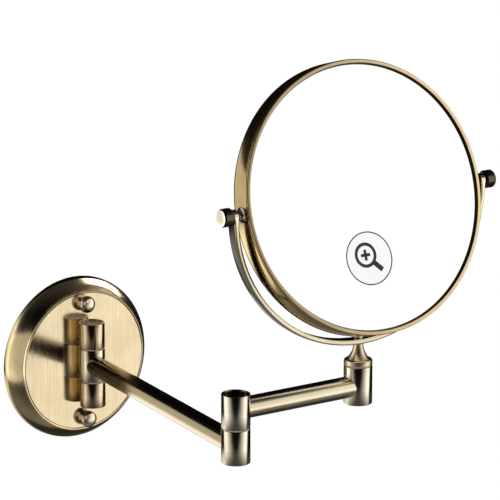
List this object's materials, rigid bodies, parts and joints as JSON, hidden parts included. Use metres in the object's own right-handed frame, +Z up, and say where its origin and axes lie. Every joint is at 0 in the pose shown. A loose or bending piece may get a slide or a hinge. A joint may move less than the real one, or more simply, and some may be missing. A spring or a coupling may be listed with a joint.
{
  "type": "extendable shaving mirror",
  "caption": "Round two-sided wall mirror, one side magnifying, that tilts in a yoke on a jointed folding arm with friction hinges and a dished wall plate.",
  "frame": {"origin": "middle of the back of the wall bracket, on the wall, level with the inner arm's centre line", "axes": "+Y into the wall, the mirror reaches out towards -Y, +X to the right seen from the room, +Z up"},
  "size_m": [0.2697, 0.3115, 0.3432],
  "materials": {
    "brushed_brass": "antique brass, satin brushed and lacquered",
    "dark_bronze": "antique bronze, smooth and lacquered",
    "polished_brass": "antique brass, polished",
    "steel": "zinc plated",
    "nylon": "matt moulded nylon",
    "mirror_glass": "silvered glass",
    "sticker": "clear film with a printed ring and magnifier symbol"
  },
  "bodies": {
    "wall": {"wall_bracket": "steel", "wall_plate": "brushed_brass", "bracket_stud_top": "steel", "bracket_stud_bottom": "steel", "stud_nut_top": "steel", "stud_nut_bottom": "steel", "dome_nut_top": "polished_brass", "dome_nut_bottom": "polished_brass", "post_top": "dark_bronze", "post_bottom": "dark_bronze", "post_screw_top": "steel", "post_screw_bottom": "steel", "wall_knuckle_top": "brushed_brass", "wall_knuckle_bottom": "brushed_brass", "wall_hinge_bolt": "steel", "wall_hinge_nut": "steel", "wall_hinge_spring": "steel", "wall_washer_top": "nylon", "wall_washer_bottom": "nylon", "wall_cap_top": "dark_bronze", "wall_cap_bottom": "dark_bronze"},
    "inner_arm": {"wall_knuckle_middle": "brushed_brass", "inner_arm_tube": "dark_bronze", "inner_spigot_wall": "steel", "inner_spigot_elbow": "steel", "elbow_knuckle_lower": "brushed_brass", "elbow_bolt": "steel", "elbow_nut": "steel", "elbow_spring": "steel", "elbow_washer": "nylon", "elbow_cap_bottom": "dark_bronze"},
    "outer_arm": {"elbow_knuckle_upper": "brushed_brass", "elbow_cap_top": "dark_bronze", "outer_arm_tube": "dark_bronze", "outer_spigot_elbow": "steel", "outer_spigot_head": "steel", "head_barrel": "brushed_brass", "head_cap_bottom": "dark_bronze"},
    "yoke": {"swivel_neck": "polished_brass", "swivel_washer": "nylon", "swivel_pin": "steel", "swivel_nut": "steel", "swivel_spring": "steel", "yoke": "polished_brass", "yoke_screw": "polished_brass", "tilt_washer_left": "nylon", "tilt_washer_right": "nylon"},
    "mirror": {"rim_band": "brushed_brass", "bezel_front": "polished_brass", "bezel_back": "polished_brass", "magnifying_glass": "mirror_glass", "plain_glass": "mirror_glass", "glass_spacer": "nylon", "magnifier_sticker": "sticker", "pivot_boss_left": "polished_brass", "pivot_boss_right": "polished_brass", "tilt_screw_left": "steel", "tilt_screw_right": "steel", "knob_left": "dark_bronze", "knob_right": "dark_bronze"}
  },
  "joints": [
    {"name": "wall_swing", "type": "hinge", "parent": "wall", "child": "inner_arm", "pos_m": [0, -0.028, 0], "axis": [0, 0, 1], "range_deg": [-82.5, 97.5]},
    {"name": "elbow_fold", "type": "hinge", "parent": "inner_arm", "child": "outer_arm", "pos_m": [-0.03159, -0.26793, 0], "axis": [0, 0, 1], "continuous": true},
    {"name": "head_swivel", "type": "hinge", "parent": "outer_arm", "child": "yoke", "pos_m": [0.08021, -0.27262, 0], "axis": [0, 0, 1], "continuous": true},
    {"name": "mirror_tilt", "type": "hinge", "parent": "yoke", "child": "mirror", "pos_m": [0.08021, -0.27262, 0.17395], "axis": [0.9971, -0.0767, 0], "continuous": true}
  ]
}
